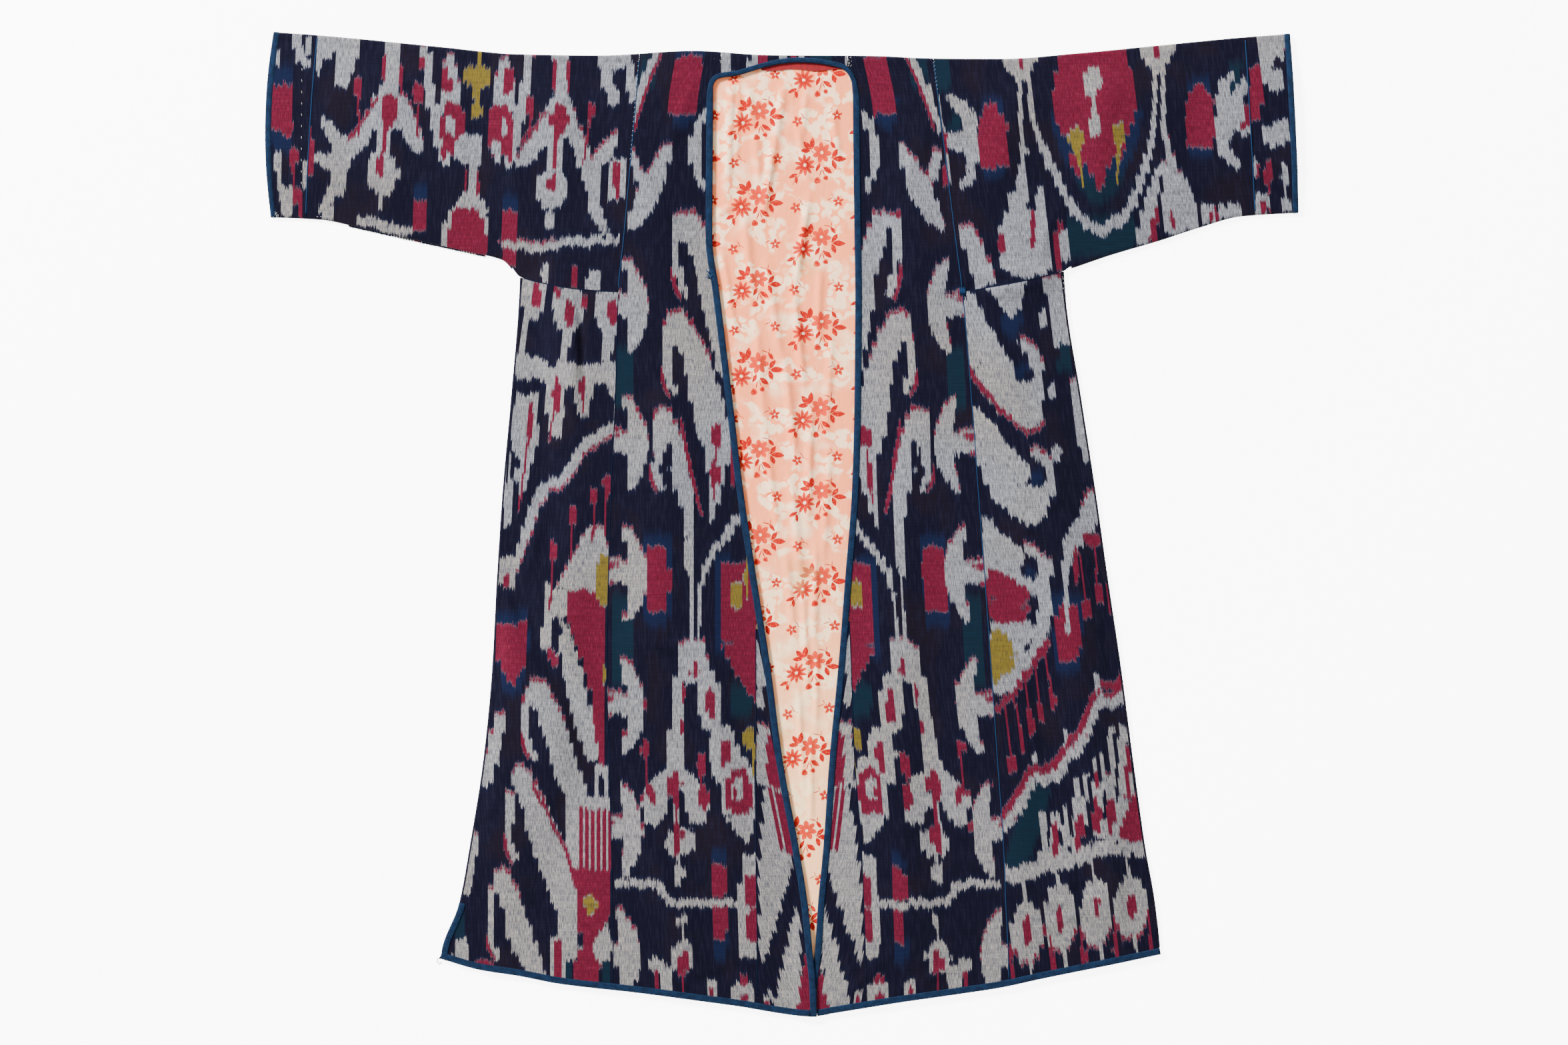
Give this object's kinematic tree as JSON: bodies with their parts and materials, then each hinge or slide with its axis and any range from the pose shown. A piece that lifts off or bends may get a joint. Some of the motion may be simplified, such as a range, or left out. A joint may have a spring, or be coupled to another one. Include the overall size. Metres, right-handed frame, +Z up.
{
  "type": "uzbek chapan robe",
  "caption": "Long-sleeved ikat robe laid flat with its fronts apart, floral cotton lining showing, blue bound edges and flared side wedges.",
  "frame": {"origin": "on the floor, under the middle of the robe's outline as it lies flat", "axes": "+Y from the hem towards the collar, +X from the left cuff to the right cuff as seen from above, +Z up off the floor"},
  "size_m": [1.3313, 1.2687, 0.013],
  "materials": {
    "ikat_cloth": "matt warp ikat cotton in indigo, grey, crimson and mustard",
    "printed_lining": "matt cream and salmon cotton with coral flower sprays",
    "red_facing": "matt dark red cotton",
    "blue_binding": "matt blue woven cotton tape"
  },
  "bodies": {
    "root": {"body_panel": "ikat_cloth", "neck_strip": "ikat_cloth", "side_gore_left": "ikat_cloth", "side_gore_right": "ikat_cloth", "front_gore_left": "ikat_cloth", "front_gore_right": "ikat_cloth", "sleeve_left": "ikat_cloth", "sleeve_right": "ikat_cloth", "cuff_band_left": "ikat_cloth", "cuff_band_right": "ikat_cloth", "back_lining": "printed_lining", "neck_facing": "red_facing", "binding_opening": "blue_binding", "binding_hem_front_left": "blue_binding", "binding_hem_front_right": "blue_binding", "binding_hem_back": "blue_binding", "binding_cuff_left": "blue_binding", "binding_cuff_right": "blue_binding"}
  },
  "joints": []
}
